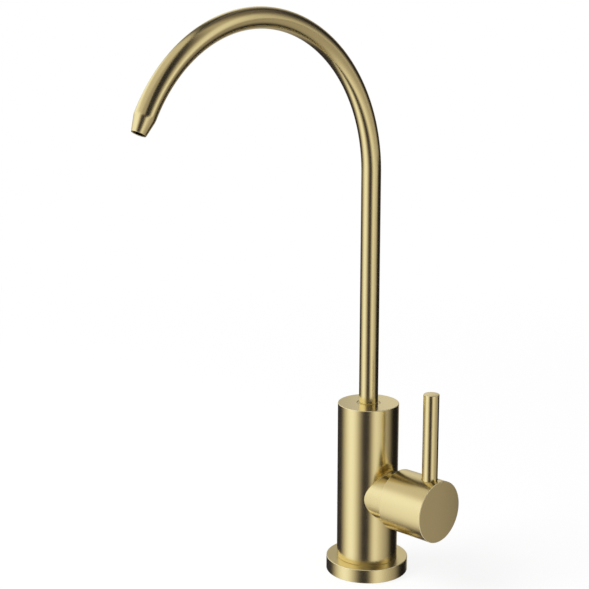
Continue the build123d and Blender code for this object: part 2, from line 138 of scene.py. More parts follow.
# %% The cards round the tap
# Angles are in degrees. The compass is 0 in front of the spout and 90 on the lever's side, and the climb
# is 0 at the horizon. Each card has a left, right, lower and upper edge, each with its softness, and then
# the share of the white paper that it covers. An edge that is None runs on out of sight.
cards = {
    "black card high on the left": ((-122, 12), (-106, 16), (15, 18), None, 0.97),
    "black card higher on the left": ((-150, 20), (-112, 14), (46, 14), None, 0.97),
    "long black card low on the left": ((-139, 40), (-54, 56), None, (2, 28), 0.97),
    "black card by the camera": ((3, 48), (58, 33), None, (30, 16), 0.97),
    "grey card above the camera": ((5, 50), (60, 20), (30, 16), None, 0.45),
    "grey card low at the side": ((86, 78), (200, 20), None, (-4, 12), 0.69),
    "black card behind": ((151, 26), (188, 20), None, (38, 24), 1.0),
    "scrim behind on the left": ((-185, 10), (-150, 75), None, None, 0.85),
    "black card high on the right": ((51, 9), (112, 46), (3, 16), None, 0.98),
    "grey card high behind": ((133, 22), (205, 53), (-9, 24), None, 0.80),
    "grey card overhead": (None, None, (34, 20), None, 0.44),
    "grey card below": (None, None, None, (-66, 22), 0.30),
}
# What the metal sees where the cards cover all, most, half, little or none of the paper. Paper in a
# card's half shadow is warm, and this makes the gold's middle tones warm too.
paper_tones = [
    (0.00, (0.010, 0.009, 0.011)),
    (0.03, (0.034, 0.031, 0.042)),
    (0.25, (0.310, 0.277, 0.248)),
    (0.50, (0.560, 0.522, 0.458)),
    (0.75, (0.785, 0.761, 0.710)),
    (1.00, (0.985, 1.000, 1.000)),
]
card_black = (*paper_tones[0][1], 1)
print("studio with", len(cards), "cards drawn by the world")


# %% How much of a ray a card takes
def patch(tree, compass, climb, left, right, lower, upper):
    """How much of a ray a card takes: 1 in its middle, 0 away from it, and soft at its edges."""
    edges = []
    if left and right:
        middle, half = (left[0] + right[0]) / 2, (right[0] - left[0]) / 2
        aside = calc(tree, "WRAP", calc(tree, "SUBTRACT", compass, middle), 180.0, -180.0)
        edges += [(aside, -half, left[1]), (aside, half, -right[1])]
    if lower:
        edges.append((climb, lower[0], lower[1]))
    if upper:
        edges.append((climb, upper[0], -upper[1]))
    share = 1.0
    for value, edge, softness in edges:
        inside = soften(tree, value, edge - softness / 2, edge + softness / 2)
        share = calc(tree, "MULTIPLY", share, inside)
    return share


# %% [markdown]
# ## The world
#
# A world is a colour for each direction. Here the direction becomes a compass angle and a climb, and every
# card takes its share of the paper. The share that is left picks a tone from the list above.
#
# What a ray sees depends on what it is for. Rays from the camera see plain white, and rays off the metal
# see paper and cards, all at full strength. Rays that gather light for matt pieces see plain white at
# about half of it, so that those pieces keep their tone in front of the white ground.

# %% The paper that is left
world = bpy.data.worlds.new("studio")
world.use_nodes = True
scene.world = world
tree = world.node_tree
tree.nodes.clear()
direction = put(tree, "ShaderNodeTexCoord").outputs["Object"]
east, north, up = put(tree, "ShaderNodeSeparateXYZ", {0: direction}).outputs
compass = calc(tree, "DEGREES", calc(tree, "ARCTAN2", east, calc(tree, "MULTIPLY", north, -1.0)))
climb = calc(tree, "DEGREES", calc(tree, "ARCSINE", up))
paper = 1.0
for *edges, cover in cards.values():
    share = calc(tree, "MULTIPLY", patch(tree, compass, climb, *edges), cover)
    paper = calc(tree, "MULTIPLY", paper, calc(tree, "SUBTRACT", 1.0, share))
tones = put(tree, "ShaderNodeValToRGB", {"Fac": paper})
while len(tones.color_ramp.elements) < len(paper_tones):
    tones.color_ramp.elements.new(1.0)
for stop, (place, tone) in zip(tones.color_ramp.elements, paper_tones):
    stop.position, stop.color = place, (*tone, 1)
print("world tree of", len(tree.nodes), "nodes so far")

# %% The light of the world
plain_white = (1, 1, 1, 1)
room_light = 0.55


def looks(tree):
    """1 for a ray that looks, from the camera, off metal or through glass, and 0 for one that lights."""
    ray = put(tree, "ShaderNodeLightPath").outputs
    passed_on = calc(tree, "MAXIMUM", ray["Is Glossy Ray"], ray["Is Transmission Ray"])
    return calc(tree, "MAXIMUM", ray["Is Camera Ray"], passed_on)


off_metal = put(tree, "ShaderNodeLightPath").outputs["Is Glossy Ray"]
colour = put(tree, "ShaderNodeMix", {"Factor": off_metal, "A": plain_white, "B": tones.outputs["Color"]},
             data_type="RGBA").outputs["Result"]
seen = looks(tree)
strength = calc(tree, "ADD", seen, calc(tree, "MULTIPLY", calc(tree, "SUBTRACT", 1.0, seen), room_light))
backdrop = put(tree, "ShaderNodeBackground", {"Color": colour, "Strength": strength})
put(tree, "ShaderNodeOutputWorld", {"Surface": backdrop.outputs[0]})
print("room light", room_light, "of the paper's white")

# %% [markdown]
# ## Two cards close by
#
# The photograph shows a near-black right edge on the body and on the tube, but no such band in the flat
# face of the hub, though all of them look the same way. And the flat top of the body goes from darker on
# the left to lighter on the right, though it is flat. Only cards that stand close can do that, because
# two pieces, or two ends of one piece, see them from different places. So these two are real planes. They
# fade out at one side through transparency, and nothing but mirror-like rays can see them.

# %% A sheet that belongs to the studio
def studio_sheet(name, corners, finish):
    """Make a flat sheet from its four corners. It is part of the studio, not of the tap."""
    mesh = bpy.data.meshes.new(name)
    mesh.from_pydata(corners, [], [(0, 1, 2, 3)])
    mesh.materials.append(finish)
    sheet = bpy.data.objects.new(name, mesh)
    scene.collection.objects.link(sheet)
    return sheet


# %% Two real cards
def stand_card(name, clear_end, far_end, full_from, heights, cover, sharpness):
    """Stand a black card upright between two places, in mm. It is clear at one end, and full from an x on."""
    felt, tree = blank_material(name)
    place = put(tree, "ShaderNodeTexCoord").outputs["Object"]
    x = put(tree, "ShaderNodeSeparateXYZ", {0: place}).outputs[0]
    faded = calc(tree, "POWER", soften(tree, x, clear_end[0] * mm, full_from * mm), sharpness)
    clear = put(tree, "ShaderNodeBsdfTransparent").outputs[0]
    black = put(tree, "ShaderNodeEmission", {"Color": card_black, "Strength": 1.0}).outputs[0]
    mixed = put(tree, "ShaderNodeMixShader", {0: calc(tree, "MULTIPLY", faded, cover), 1: clear, 2: black})
    put(tree, "ShaderNodeOutputMaterial", {"Surface": mixed.outputs[0]})

    low, high = heights
    corners = [(*clear_end, low), (*far_end, low), (*far_end, high), (*clear_end, high)]
    card = studio_sheet(name, [Vector(corner) * mm for corner in corners], felt)
    card.visible_camera = card.visible_diffuse = False
    card.visible_transmission = card.visible_shadow = False
    print(f"{name}: covers {cover:.0%} from x {full_from} mm on")


stand_card("card_behind_the_lever", clear_end=(75, 16), far_end=(22, 42.5), full_from=36,
           heights=(-40, 215), cover=1.0, sharpness=2.0)
stand_card("card_behind_on_the_left", clear_end=(-34, 63), far_end=(-80, 23), full_from=-64,
           heights=(5, 215), cover=0.37, sharpness=1.0)

# %% [markdown]
# ## The floor
#
# The photograph stands the tap on nothing: pure white with no line for the floor. A tap on a worktop
# still needs a shadow to sit in, so the floor is white paper that gives off most of its own white and is
# lit for the rest. Far from the tap the share of that light fades out, and with it the edge of the floor.
# The floor is kept out of mirror-like rays, so that the cards run down to the flange as they do in the
# photograph.

# %% The floor
floor_reach = 6.0
shadow_share = 0.14
shadow_full_within = 0.12
shadow_gone_beyond = 0.8
matt_white = (0.92, 0.92, 0.92, 1)

paper_sheet, tree = blank_material("paper")
place = put(tree, "ShaderNodeTexCoord").outputs["Object"]
away = put(tree, "ShaderNodeVectorMath", {0: place}, operation="LENGTH").outputs["Value"]
lit = calc(tree, "MULTIPLY", shadow_share, soften(tree, away, shadow_gone_beyond, shadow_full_within))
glow_share = calc(tree, "MULTIPLY", looks(tree), calc(tree, "SUBTRACT", 1.0, lit))
matt = put(tree, "ShaderNodeBsdfDiffuse", {"Color": matt_white}).outputs[0]
glow = put(tree, "ShaderNodeEmission", {"Color": plain_white, "Strength": 1.0}).outputs[0]
mixed = put(tree, "ShaderNodeMixShader", {0: glow_share, 1: matt, 2: glow}).outputs[0]
put(tree, "ShaderNodeOutputMaterial", {"Surface": mixed})

signs = ((-1, -1), (1, -1), (1, 1), (-1, 1))
floor = studio_sheet("floor", [(x * floor_reach, y * floor_reach, 0) for x, y in signs], paper_sheet)
floor.visible_glossy = False
print("floor", 2 * floor_reach, "m wide, shadows of up to", shadow_share, "of its white")

# %% [markdown]
# ## The lamp
#
# One large round lamp high on the left gives the shadow its direction. It is large, so that the shadow is
# soft, and it is hidden from mirror-like rays, so that it leaves no bright spot in the metal.

# %% The lamp
lamp_place = Vector((-0.5, -0.9, 1.3))
lamp_width = 0.9
lamp_power = 22.0

lamp = bpy.data.objects.new("soft_lamp", bpy.data.lights.new("soft_lamp", "AREA"))
lamp.data.shape = "DISK"
lamp.data.size = lamp_width
lamp.data.energy = lamp_power
lamp.location = lamp_place
lamp.rotation_euler = (-lamp_place).to_track_quat("-Z", "Y").to_euler()
lamp.visible_glossy = False
lamp.visible_camera = False
scene.collection.objects.link(lamp)
print("lamp of", lamp_power, "W,", round(lamp_place.length, 2), "m away")

# %% [markdown]
# ## The brushed gold finish
#
# The tap is steel with a gold coloured coat, brushed before it was coated. Brushing leaves hairlines. A
# piece that was brushed on the lathe has them running round its axis, and a tube that was brushed as it
# was drawn has them along its length. At arm's length nobody sees a single line. What shows is that
# reflections are soft, and a little uneven.
#
# A picture of scratches would be one way. A noise pattern squeezed in one direction is better: it has no
# seams, and it can follow a bend. The pattern needs to know where each point was on the lathe, before the
# tube was bent or the hub was turned on its side. So each piece below carries that place as an attribute,
# named `lathe_place`.

# %% Hairlines
# Noise scales are in features for each metre.
across_hairlines = 5200.0
along_hairlines = 45.0
hairline_detail = 3.0
hairline_harshness = 0.65


def hairlines_at(tree, place, lengthwise):
    """Noise that is squeezed into hairlines, round the axis or along the piece."""
    x, y, along = put(tree, "ShaderNodeSeparateXYZ", {0: place}).outputs
    if lengthwise:
        sideways, endways = across_hairlines, along_hairlines
    else:
        sideways, endways = along_hairlines, across_hairlines
        squares = calc(tree, "ADD", calc(tree, "POWER", x, 2.0), calc(tree, "POWER", y, 2.0))
        along = calc(tree, "ADD", along, calc(tree, "SQRT", squares))
    squeezed = (calc(tree, "MULTIPLY", x, sideways), calc(tree, "MULTIPLY", y, sideways),
                calc(tree, "MULTIPLY", along, endways))
    place = put(tree, "ShaderNodeCombineXYZ", dict(enumerate(squeezed))).outputs[0]
    return put(tree, "ShaderNodeTexNoise", {"Vector": place, "Scale": 1.0, "Detail": hairline_detail,
                                            "Roughness": hairline_harshness}).outputs["Fac"]


# %% [markdown]
# ## Painted edge highlights and faced ends
#
# Every fine edge of the tap shows a pale line. That line is partly the light that the broken edge really
# catches and partly a painted highlight. The pieces mark the faces of their fine edges with an attribute,
# `painted_edge_highlight`, which marks where the highlight is painted, and the finish makes them paler and
# less metallic there, which paints the highlight in, and rougher. And the flange's flat top mirrors the body
# more softly than its side would, as a faced surface does, so the finish can be made rougher above a height.

# %% The numbers of the finish
cloud_scale = 55.0
cloud_detail = 2.0
hairline_share = 0.45
tone_span = (0.3, 0.7)
gold_dark = (0.860, 0.725, 0.378, 1)
gold_light = (0.930, 0.810, 0.450, 1)
gold_roughness = (0.19, 0.25)
hairline_depth = 0.004 * mm
hairline_strength = 0.25

# Along fine edges the finish paints a highlight: a paler, less metallic gold there, with some extra
# roughness.
gold_edge_highlight = (0.92, 0.82, 0.52, 1)
edge_highlight_least = 0.6
edge_highlight_metal_loss = 0.3
edge_roughness = 0.15
faced_roughness = 0.10


# %% Brushed gold
def brushed_gold(name, lengthwise=False, coarse_above=None):
    """Gold coated steel, brushed round the axis or along the piece, and rougher above a height if given."""
    material, tree = blank_material(name)
    place = put(tree, "ShaderNodeAttribute", attribute_name="lathe_place").outputs["Vector"]
    hairlines = hairlines_at(tree, place, lengthwise)
    clouds = put(tree, "ShaderNodeTexNoise", {"Vector": place, "Scale": cloud_scale, "Detail": cloud_detail})
    tone = calc(tree, "ADD", calc(tree, "MULTIPLY", hairlines, hairline_share),
                calc(tree, "MULTIPLY", clouds.outputs["Fac"], 1 - hairline_share))
    colour = put(tree, "ShaderNodeMix", {"Factor": tone, "A": gold_dark, "B": gold_light}, data_type="RGBA")
    rough = put(tree, "ShaderNodeMapRange", {
        "Value": tone, "From Min": tone_span[0], "From Max": tone_span[1],
        "To Min": gold_roughness[0], "To Max": gold_roughness[1]}).outputs["Result"]

    # Painted highlight: the faces of fine edges become paler, less metallic and rougher.
    edge_highlight_share = put(tree, "ShaderNodeAttribute", attribute_name="painted_edge_highlight").outputs["Fac"]
    uneven = calc(tree, "ADD", edge_highlight_least, calc(tree, "MULTIPLY", tone, 1 - edge_highlight_least))
    edge_highlight_share = calc(tree, "MULTIPLY", edge_highlight_share, uneven)
    colour = put(tree, "ShaderNodeMix", {"Factor": edge_highlight_share, "A": colour.outputs["Result"], "B": gold_edge_highlight},
                 data_type="RGBA")
    metallic = calc(tree, "SUBTRACT", 1.0, calc(tree, "MULTIPLY", edge_highlight_share, edge_highlight_metal_loss))
    rough = calc(tree, "ADD", rough, calc(tree, "MULTIPLY", edge_highlight_share, edge_roughness))
    if coarse_above is not None:
        height = put(tree, "ShaderNodeSeparateXYZ", {0: place}).outputs[2]
        faced = calc(tree, "GREATER_THAN", height, coarse_above)
        rough = calc(tree, "ADD", rough, calc(tree, "MULTIPLY", faced, faced_roughness))

    bump = put(tree, "ShaderNodeBump", {"Strength": hairline_strength, "Distance": hairline_depth,
                                        "Height": hairlines})
    shader = put(tree, "ShaderNodeBsdfPrincipled", {"Base Color": colour.outputs["Result"],
                                                    "Metallic": metallic, "Roughness": rough,
                                                    "Normal": bump.outputs[0]})
    put(tree, "ShaderNodeOutputMaterial", {"Surface": shader.outputs[0]})
    print(f"{name}: {len(tree.nodes)} nodes")
    return material


turned_gold = brushed_gold("gold_brushed_round")
drawn_gold = brushed_gold("gold_brushed_along", lengthwise=True)

# %% [markdown]
# ## One tree for every turned and bent piece
#
# A lathe turns an outline about an axis. So does this tree of Geometry Nodes. Its input is half an
# outline, drawn as a chain of points that are each a radius and a distance along the axis. Fillet Curve
# breaks the corners, as a file would. Then a grid is laid out with a row for each point of the outline
# and a column for each side, and every grid point is moved to its place with a formula.
#
# Two more terms make it serve the whole tap. A bend takes the axis round an arc, which makes the swan
# neck. A saddle pushes a ring along the axis until it lies on a round body, which makes the coped end of
# the side neck. A Screw modifier would turn the plain pieces too, but it can do neither of these.

# %% The tree and its inputs
turned_inputs = {
    "Sides": ("NodeSocketInt", 256),
    "Corner Steps": ("NodeSocketInt", 4),
    "Bend Start": ("NodeSocketFloat", 0.0),
    "Bend Radius": ("NodeSocketFloat", 1.0),
    "Bend Angle": ("NodeSocketFloat", 0.0),
    "Saddle Radius": ("NodeSocketFloat", 0.0),
    "Finish": ("NodeSocketMaterial", None),
}
turning = bpy.data.node_groups.new("turned_piece", "GeometryNodeTree")
turning.interface.new_socket("Outline", in_out="INPUT", socket_type="NodeSocketGeometry")
input_key = {}
for name, (kind, value) in turned_inputs.items():
    socket = turning.interface.new_socket(name, in_out="INPUT", socket_type=kind)
    input_key[name] = socket.identifier
    if value is not None:
        socket.default_value = value
turning.interface.new_socket("Piece", in_out="OUTPUT", socket_type="NodeSocketGeometry")
print("turned_piece takes", ", ".join(turned_inputs))


# %% From the outline to a grid
def named(name):
    """A number that each point of the outline, or of the skin, carries."""
    feeds = {"Name": name}
    return put(turning, "GeometryNodeInputNamedAttribute", feeds, data_type="FLOAT").outputs["Attribute"]


given = put(turning, "NodeGroupInput").outputs
chain = put(turning, "GeometryNodeMeshToCurve", {"Mesh": given["Outline"]}).outputs[0]
chain = put(turning, "GeometryNodeFilletCurve",
            {"Curve": chain, "Count": given["Corner Steps"], "Radius": named("edge_break")},
            mode="POLY").outputs[0]
rows = put(turning, "GeometryNodeAttributeDomainSize", {"Geometry": chain}, component="CURVE")
columns = calc(turning, "ADD", given["Sides"], 1.0)
skin = put(turning, "GeometryNodeMeshGrid",
           {"Vertices X": rows.outputs["Point Count"], "Vertices Y": columns}).outputs["Mesh"]
index = put(turning, "GeometryNodeInputIndex").outputs[0]
row = calc(turning, "FLOOR", calc(turning, "DIVIDE", index, columns))
column = calc(turning, "SUBTRACT", index, calc(turning, "MULTIPLY", row, columns))


# %% Each grid point finds its radius, its angle and its place along the axis
def from_outline(value, kind):
    """Read a value at the outline's point that belongs to this row."""
    feeds = {"Geometry": chain, "Value": value, "Index": row}
    return put(turning, "GeometryNodeSampleIndex", feeds, data_type=kind, domain="POINT").outputs[0]


on_outline = from_outline(put(turning, "GeometryNodeInputPosition").outputs[0], "FLOAT_VECTOR")
radius, _, along = put(turning, "ShaderNodeSeparateXYZ", {0: on_outline}).outputs
angle = calc(turning, "MULTIPLY", calc(turning, "DIVIDE", column, given["Sides"]), 2 * math.pi)
side_x = calc(turning, "MULTIPLY", radius, calc(turning, "COSINE", angle))
side_y = calc(turning, "MULTIPLY", radius, calc(turning, "SINE", angle))

# %% The saddle
saddle = from_outline(named("on_saddle"), "FLOAT")
rise = calc(turning, "SUBTRACT", calc(turning, "POWER", given["Saddle Radius"], 2.0),
            calc(turning, "MULTIPLY", side_x, side_x))
rise = calc(turning, "SQRT", calc(turning, "MAXIMUM", rise, 0.0))
along = calc(turning, "ADD", along, calc(turning, "MULTIPLY", saddle, rise))

# %% The bend
past = calc(turning, "SUBTRACT", along, given["Bend Start"])
turn = calc(turning, "MAXIMUM", calc(turning, "DIVIDE", past, given["Bend Radius"]), 0.0)
turn = calc(turning, "MINIMUM", turn, given["Bend Angle"])
run_on = calc(turning, "SUBTRACT", past, calc(turning, "MULTIPLY", turn, given["Bend Radius"]))
sine, cosine = calc(turning, "SINE", turn), calc(turning, "COSINE", turn)
from_centre = calc(turning, "ADD", given["Bend Radius"], side_y)
bent_y = calc(turning, "SUBTRACT", calc(turning, "MULTIPLY", from_centre, cosine), given["Bend Radius"])
bent_y = calc(turning, "SUBTRACT", bent_y, calc(turning, "MULTIPLY", run_on, sine))
bent_z = calc(turning, "ADD", given["Bend Start"], calc(turning, "MULTIPLY", from_centre, sine))
bent_z = calc(turning, "ADD", bent_z, calc(turning, "MULTIPLY", run_on, cosine))
lathe_place = put(turning, "ShaderNodeCombineXYZ", {0: side_x, 1: side_y, 2: along}).outputs[0]
final_place = put(turning, "ShaderNodeCombineXYZ", {0: side_x, 1: bent_y, 2: bent_z}).outputs[0]

# %% [markdown]
# ## Which faces get the painted edge highlight
#
# Fillet Curve turns one corner into a few points, and all of them keep the corner's own attributes. So
# each fine corner carries a whole number, and every other point carries a number that is a quarter more
# than a whole one. A face takes the average of its points. Between two points of the same fine corner
# that is a whole number, and between any others it is not. Ping-pong at 0.5 folds a number to how far it
# is from the nearest whole one, so a test for nearly 0 finds the edges of any piece.

# %% Mark the faces for the painted edge highlight
no_edge_offset = 0.25
whole_within = 0.1


def store(skin, name, value, kind, domain):
    """Give the skin an attribute."""
    return put(turning, "GeometryNodeStoreNamedAttribute", {"Geometry": skin, "Name": name, "Value": value},
               data_type=kind, domain=domain).outputs[0]


skin = store(skin, "lathe_place", lathe_place, "FLOAT_VECTOR", "POINT")
skin = store(skin, "corner", from_outline(named("corner"), "FLOAT"), "FLOAT", "POINT")
from_whole = calc(turning, "PINGPONG", named("corner"), 0.5)
# The faces of fine edges, where the finish paints a pale highlight.
skin = store(skin, "painted_edge_highlight", calc(turning, "LESS_THAN", from_whole, whole_within), "FLOAT", "FACE")

# %% Close the seam and hand the piece over
weld = 0.0005 * mm
skin = put(turning, "GeometryNodeSetPosition", {"Geometry": skin, "Position": final_place}).outputs[0]
skin = put(turning, "GeometryNodeMergeByDistance", {"Geometry": skin, "Distance": weld}).outputs[0]
skin = put(turning, "GeometryNodeSetShadeSmooth", {"Geometry": skin, "Shade Smooth": True}).outputs[0]
skin = put(turning, "GeometryNodeRealizeInstances", {"Geometry": skin}).outputs[0]
skin = put(turning, "GeometryNodeSetMaterial", {"Geometry": skin, "Material": given["Finish"]}).outputs[0]
put(turning, "NodeGroupOutput", {"Piece": skin})
print("turning tree of", len(turning.nodes), "nodes")


# %% [markdown]
# ## From tree to plain mesh
#
# The tree is live: it would run again at every change. A finished piece should be plain, so the result
# is taken from the evaluated object and the modifier is dropped. Two things are put right on the way.
# Faces are made to point outwards. And the normals are weighted by face area, so that a wide flat face
# stays flat up to its small broken edge, instead of shading like a pillow.

# %% Make a mesh plain and turn its faces outwards
def settle(piece):
    """Replace a piece's mesh by what its modifiers make of it, and drop the modifiers."""
    graph = bpy.context.evaluated_depsgraph_get()
    made = bpy.data.meshes.new_from_object(piece.evaluated_get(graph), preserve_all_data_layers=True,
                                           depsgraph=graph)
    piece.modifiers.clear()
    old, piece.data = piece.data, made
    bpy.data.meshes.remove(old)
    made.name = piece.name


def face_outwards(piece):
    """Point every face out of the metal."""
    shape = bmesh.new()
    shape.from_mesh(piece.data)
    bmesh.ops.recalc_face_normals(shape, faces=shape.faces)
    shape.to_mesh(piece.data)
    shape.free()


# %% Turn an outline
finest_break = 1.0 * mm


def turned(name, outline, finish, place=Matrix.Identity(4), **sizes):
    """Turn an outline of (radius, distance, edge break, on the saddle) points, and put it in place."""
    points = [tuple(point) + (0.0,) * (4 - len(point)) for point in outline]
    # The corners with a fine edge break are the ones whose faces get the painted highlight.
    fine = [0 < edge_break <= finest_break for _, _, edge_break, _ in points]
    chain = bpy.data.meshes.new(name)
    chain.from_pydata([(point[0], 0, point[1]) for point in points],
                      [(i, i + 1) for i in range(len(points) - 1)], [])
    point_values = {"edge_break": [point[2] for point in points],
                    "on_saddle": [point[3] for point in points],
                    "corner": [i if fine[i] else i + no_edge_offset for i in range(len(points))]}
    for attribute, values in point_values.items():
        chain.attributes.new(attribute, "FLOAT", "POINT").data.foreach_set("value", values)
    piece = bpy.data.objects.new(name, chain)
    scene.collection.objects.link(piece)
    lathe = piece.modifiers.new("lathe", "NODES")
    lathe.node_group = turning
    lathe[input_key["Finish"]] = finish
    for size, value in sizes.items():
        lathe[input_key[size.replace("_", " ").title()]] = value
    settle(piece)
    piece.data.transform(place)
    face_outwards(piece)
    return piece


# %% Finish, cut and hand over
sharp_from = math.radians(40)


def smooth_over(piece):
    """Weight the normals by face area, keep true corners sharp, and say how large the mesh is."""
    piece.data.set_sharp_from_angle(angle=sharp_from)
    weigh = piece.modifiers.new("weigh", "WEIGHTED_NORMAL")
    weigh.keep_sharp = True
    settle(piece)
    print(f"{piece.name}: {len(piece.data.polygons)} faces")


def cut(piece, *tools):
    """Cut each tool's shape out of the piece."""
    for tool in tools:
        drill = piece.modifiers.new("drill", "BOOLEAN")
        drill.object = tool
        drill.operation = "DIFFERENCE"
        drill.solver = "EXACT"
    settle(piece)
    for tool in tools:
        bpy.data.objects.remove(tool)


def hand_over(piece, body, slot, *nodes):
    """The piece moves with that body and stands for those nodes."""
    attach(piece, body)
    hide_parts(*nodes)


# %% [markdown]
# ## Sizes that several pieces share
#
# Nothing is measured twice. The frame's boxes give the outside sizes, and only what a box can't tell,
# such as a bend's radius or a wall, is written down with its piece. The sizes here serve several pieces.
# An edge is broken most where a hand meets it, less at a seam, and least at a rim. The hair's gap keeps
# a piece's surface from lying exactly in its neighbour's, where the two would fight in the render. The
# handle's parts are drawn along the lathe's own axis, and a matrix then lays that axis along the handle's.

# %% Shared sizes
soft_edge = 0.3 * mm
seam_edge = 0.25 * mm
rim_edge = 0.12 * mm
hair_gap = 0.02 * mm

hub_low, hub_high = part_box("handle_hub")
handle_height = (hub_low.z + hub_high.z) / 2
on_handle_axis = Matrix(((0, 0, 1, 0), (1, 0, 0, 0), (0, 1, 0, handle_height), (0, 0, 0, 1)))
print("handle axis", round(handle_height / mm, 2), "mm above the worktop")

# %% [markdown]
# ## The base flange
#
# The flange is a plain turned disc that covers the hole in the worktop. It is worth more than a cylinder for
# two reasons: its broken top edge draws the bright line that runs round it in the photograph, partly through
# its shape and partly as a painted highlight, and the body stands on it with a seam between.

# %% The base flange
flange_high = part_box("base_flange")[1]
gasket_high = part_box("flange_gasket")[1]
flange_radius, flange_top = flange_high.x, flange_high.z
foot_hole = 11.2 * mm
gasket_seat_outer = gasket_high.x + hair_gap
gasket_seat_inner = 16.18 * mm
gasket_top = gasket_high.z
flange_gold = brushed_gold("gold_brushed_flange", coarse_above=flange_top - hair_gap)

base_flange = turned("base_flange_dressed", [
    (foot_hole, flange_top / 2),
    (foot_hole, flange_top),
    (flange_radius, flange_top, soft_edge),
    (flange_radius, 0, seam_edge),
    (gasket_seat_outer, 0),
    (gasket_seat_outer, gasket_top),
    (gasket_seat_inner, gasket_top),
    (gasket_seat_inner, 0),
    (foot_hole, 0),
    (foot_hole, flange_top / 2),
], flange_gold)
smooth_over(base_flange)
hand_over(base_flange, "tap_body", "gold_steel", "base_flange")

# %% [markdown]
# ## The body shell
#
# The body is a turned tube with a closed top. Three holes go through it: the spout's hole in the top, the
# one that the side neck's spigot fills, and a small one at the back for the key that turns the lock
# screw. The spout's hole is part of the outline, because it is round the same axis. The other two are
# drilled afterwards with turned tools and a Boolean.

# %% The body shell
shell_low, shell_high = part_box("body_shell")
body_radius = shell_high.x
body_bottom, body_top = shell_low.z, shell_high.z
shell_bore = 13.5 * mm
cap_thickness = 4.0 * mm
cap_underside = body_top - cap_thickness
spout_hole = 6.12 * mm

body_shell = turned("body_shell_dressed", [
    (shell_bore, body_top / 2),
    (shell_bore, body_bottom),
    (body_radius, body_bottom, seam_edge),
    (body_radius, body_top, soft_edge),
    (spout_hole, body_top, seam_edge),
    (spout_hole, cap_underside),
    (shell_bore, cap_underside),
    (shell_bore, body_top / 2),
], turned_gold)

# %% The holes in its side
spigot_hole = 9.0 * mm
key_hole = 2.4 * mm
key_hole_height = 71.9 * mm
bit_length = 2 * body_radius
bit_sides = 96


def drill_bit(name, bit_radius, start, end, place):
    """A plain rod that serves as a cutting tool."""
    outline = [(0, start), (bit_radius, start), (bit_radius, end), (0, end)]
    return turned(name, outline, turned_gold, place, sides=bit_sides)


to_the_back = Matrix(((1, 0, 0, 0), (0, 0, 1, 0), (0, -1, 0, key_hole_height), (0, 0, 0, 1)))
cut(body_shell,
    drill_bit("spigot_bit", spigot_hole, 0, bit_length, on_handle_axis),
    drill_bit("key_bit", key_hole, 0, bit_length, to_the_back))
smooth_over(body_shell)
hand_over(body_shell, "tap_body", "gold_steel", "body_shell")

# %% [markdown]
# ## The side neck
#
# The neck joins the handle to the body. Its end is coped: cut to the curve of the body, so that it lies on it
# all round, with a fine bevel that catches the light as a pale line, which a painted highlight on its broken
# edges makes paler. In the outline, the points marked as on the saddle are measured from the body's surface
# instead of from its axis. The tree then gives each of them its own distance all the way round.

# %% The side neck
neck_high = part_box("side_neck")[1]
neck_radius, neck_front = neck_high.y, neck_high.x
neck_bevel = 0.4 * mm
neck_rounding = 0.9 * mm
nut_bore = 9.84 * mm
neck_way = 7.6 * mm
shoulder_depth = 1.0 * mm
neck_shoulder = body_radius + shoulder_depth
spigot_radius = 8.9 * mm
spigot_reach = 2.5 * mm
halfway = (neck_shoulder + neck_front) / 2

side_neck = turned("side_neck_dressed", [
    (nut_bore, halfway),
    (nut_bore, neck_front),
    (neck_radius, neck_front, rim_edge),
    (neck_radius, neck_bevel, neck_rounding, 1),
    (neck_radius - neck_bevel, 0, rim_edge, 1),
    (spigot_radius, 0, 0, 1),
    (spigot_radius, -spigot_reach, 0, 1),
    (neck_way, -spigot_reach, 0, 1),
    (neck_way, neck_shoulder),
    (nut_bore, neck_shoulder),
    (nut_bore, halfway),
], turned_gold, on_handle_axis, saddle_radius=body_radius + hair_gap)
smooth_over(side_neck)
hand_over(side_neck, "tap_body", "gold_steel", "side_neck")

# %% [markdown]
# ## The handle hub
#
# The hub is a cup that turns over the neck. Its flat end looks towards the camera and is the plainest
# surface of the tap, so any shading fault would show there. The hairlines run round its centre, which
# comes free with the lathe place. The lever's seat, the hole for its stud and the screw's hole are
# drilled across it.

# %% The handle hub
bush_low, bush_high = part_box("drive_bush")
hub_radius = (hub_high.z - hub_low.z) / 2
hub_rear, hub_front = hub_low.x, hub_high.x
hub_wall = 2.4 * mm
skirt_radius = hub_radius - hub_wall
skirt_room = 1.0 * mm
skirt_floor = neck_front + skirt_room
nose_room = 7.0 * mm
bush_start, bush_end = bush_low.x, bush_high.x
bush_radius = bush_high.y + hair_gap

handle_hub = turned("handle_hub_dressed", [
    (0, hub_front),
    (hub_radius, hub_front, soft_edge),
    (hub_radius, hub_rear, seam_edge),
    (skirt_radius, hub_rear, rim_edge),
    (skirt_radius, skirt_floor),
    (nose_room, skirt_floor),
    (nose_room, bush_start),
    (bush_radius, bush_start),
    (bush_radius, bush_end),
    (0, bush_end),
], turned_gold, on_handle_axis)

# %% The holes across the hub
rod_low, rod_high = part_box("lever_rod")
rod_radius = (rod_high.x - rod_low.x) / 2
rod_seat = 58.3 * mm
seat_play = 0.15 * mm
stud_radius = 2.5 * mm
bit_overrun = 0.1 * mm
screw_from_bush_start = 5.0 * mm
screw_radius = 2.0 * mm
at_the_rod = Matrix.Translation(((rod_low.x + rod_high.x) / 2, 0, 0))
at_the_screw = Matrix.Translation((bush_start + screw_from_bush_start, 0, 0))

